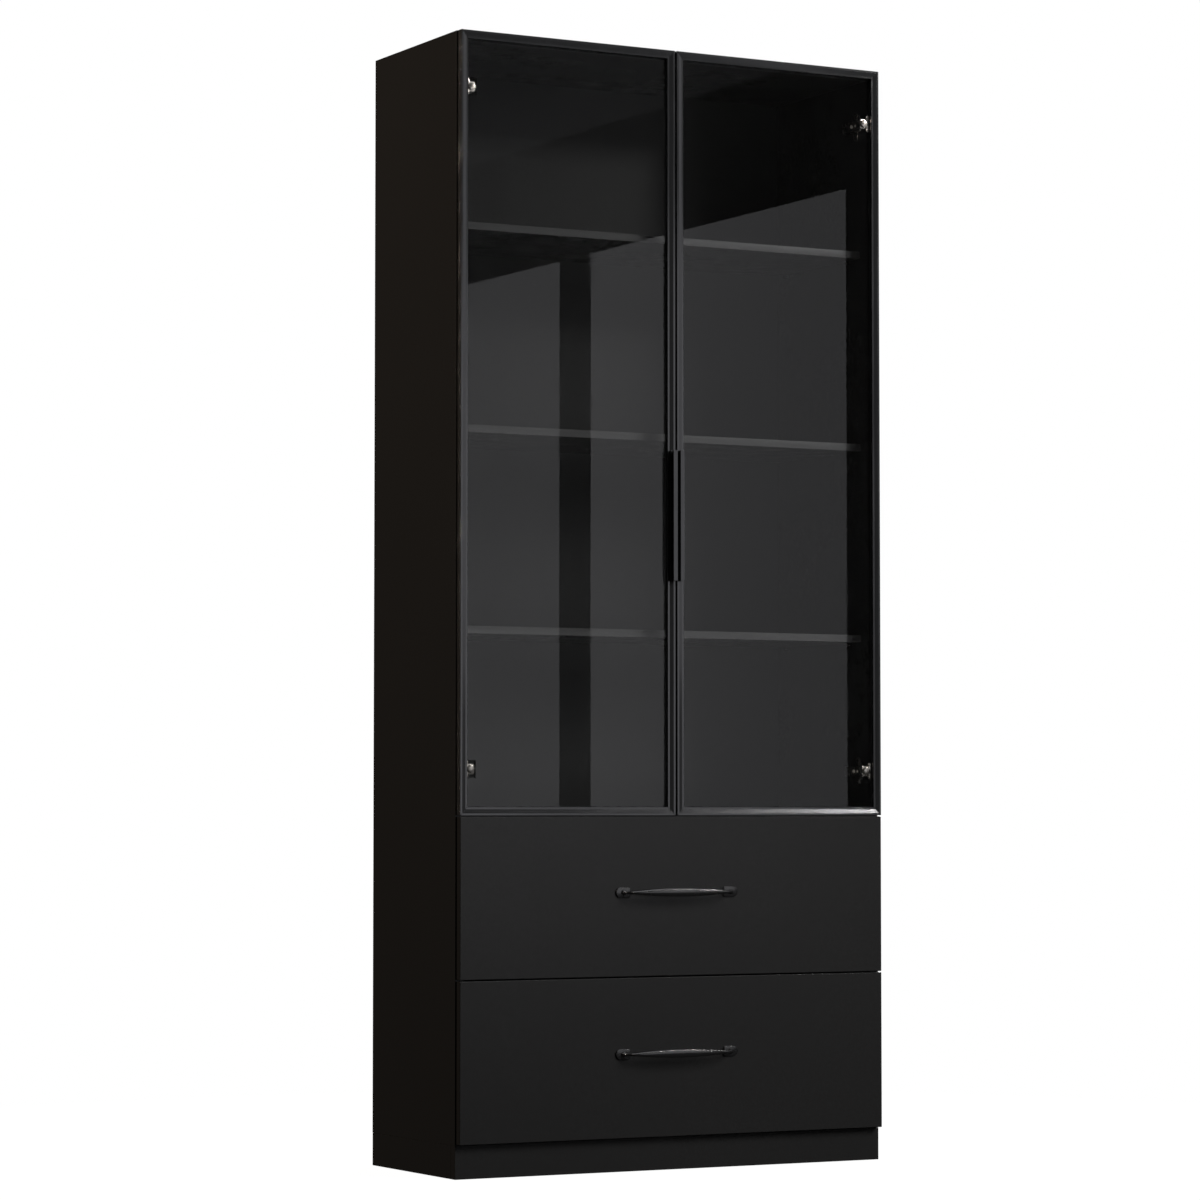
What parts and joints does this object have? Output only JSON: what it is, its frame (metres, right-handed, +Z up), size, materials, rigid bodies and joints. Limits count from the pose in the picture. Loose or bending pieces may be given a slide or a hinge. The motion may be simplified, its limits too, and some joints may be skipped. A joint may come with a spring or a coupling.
{
  "type": "china cabinet",
  "caption": "Tall black china cabinet with framed glass doors over full-width drawers, adjustable shelves and a flush plinth.",
  "frame": {"origin": "centre of the bounding box footprint, on the floor under the plinth", "axes": "+X to the cabinet's right as seen from the front, -Y out of the front, +Z up"},
  "size_m": [0.8, 0.344, 1.85],
  "materials": {
    "board_black": "matte black foil-faced board",
    "back_board": "matte black painted fibreboard",
    "drawer_board": "matte black foil-faced board",
    "frame_black": "black anodised, fine brushed",
    "handle_black": "black anodised, satin",
    "pull_black": "satin black lacquer",
    "hinge_steel": "nickel plated",
    "runner_steel": "zinc plated",
    "pin_steel": "nickel plated",
    "door_glass": "clear tempered, faintly grey"
  },
  "bodies": {
    "cabinet": {"back_panel": "back_board", "base_panel": "board_black", "divider_panel": "board_black", "hinge_arm_left_lower": "hinge_steel", "hinge_arm_left_upper": "hinge_steel", "hinge_arm_right_lower": "hinge_steel", "hinge_arm_right_upper": "hinge_steel", "left_side_panel": "board_black", "lower_shelf": "board_black", "middle_shelf": "board_black", "plinth_front": "board_black", "plinth_left": "board_black", "plinth_right": "board_black", "right_side_panel": "board_black", "runner_rail_lower_left": "runner_steel", "runner_rail_lower_right": "runner_steel", "runner_rail_upper_left": "runner_steel", "runner_rail_upper_right": "runner_steel", "shelf_pin_lower_front_left": "pin_steel", "shelf_pin_lower_front_right": "pin_steel", "shelf_pin_lower_rear_left": "pin_steel", "shelf_pin_lower_rear_right": "pin_steel", "shelf_pin_upper_front_left": "pin_steel", "shelf_pin_upper_front_right": "pin_steel", "shelf_pin_upper_rear_left": "pin_steel", "shelf_pin_upper_rear_right": "pin_steel", "top_panel": "board_black", "upper_shelf": "board_black"},
    "left_door": {"left_door_bottom_rail": "frame_black", "left_door_glass": "door_glass", "left_door_handle": "handle_black", "left_door_hinge_cup_lower": "hinge_steel", "left_door_hinge_cup_upper": "hinge_steel", "left_door_hinge_stile": "frame_black", "left_door_meeting_stile": "frame_black", "left_door_top_rail": "frame_black"},
    "right_door": {"right_door_bottom_rail": "frame_black", "right_door_glass": "door_glass", "right_door_handle": "handle_black", "right_door_hinge_cup_lower": "hinge_steel", "right_door_hinge_cup_upper": "hinge_steel", "right_door_hinge_stile": "frame_black", "right_door_meeting_stile": "frame_black", "right_door_top_rail": "frame_black"},
    "upper_drawer": {"upper_drawer_back": "drawer_board", "upper_drawer_bottom": "drawer_board", "upper_drawer_front": "board_black", "upper_drawer_left_side": "drawer_board", "upper_drawer_left_slide": "runner_steel", "upper_drawer_pull": "pull_black", "upper_drawer_right_side": "drawer_board", "upper_drawer_right_slide": "runner_steel"},
    "lower_drawer": {"lower_drawer_back": "drawer_board", "lower_drawer_bottom": "drawer_board", "lower_drawer_front": "board_black", "lower_drawer_left_side": "drawer_board", "lower_drawer_left_slide": "runner_steel", "lower_drawer_pull": "pull_black", "lower_drawer_right_side": "drawer_board", "lower_drawer_right_slide": "runner_steel"}
  },
  "joints": [
    {"name": "left_door_hinge", "type": "hinge", "parent": "cabinet", "child": "left_door", "pos_m": [-0.3955, -0.142, 1.215], "axis": [0, 0, -1], "range_deg": [0, 100]},
    {"name": "right_door_hinge", "type": "hinge", "parent": "cabinet", "child": "right_door", "pos_m": [0.3955, -0.142, 1.215], "axis": [0, 0, 1], "range_deg": [0, 100]},
    {"name": "upper_drawer_slide", "type": "slide", "parent": "cabinet", "child": "upper_drawer", "axis": [0, -1, 0], "range_m": [0, 0.19]},
    {"name": "lower_drawer_slide", "type": "slide", "parent": "cabinet", "child": "lower_drawer", "axis": [0, -1, 0], "range_m": [0, 0.19]}
  ]
}
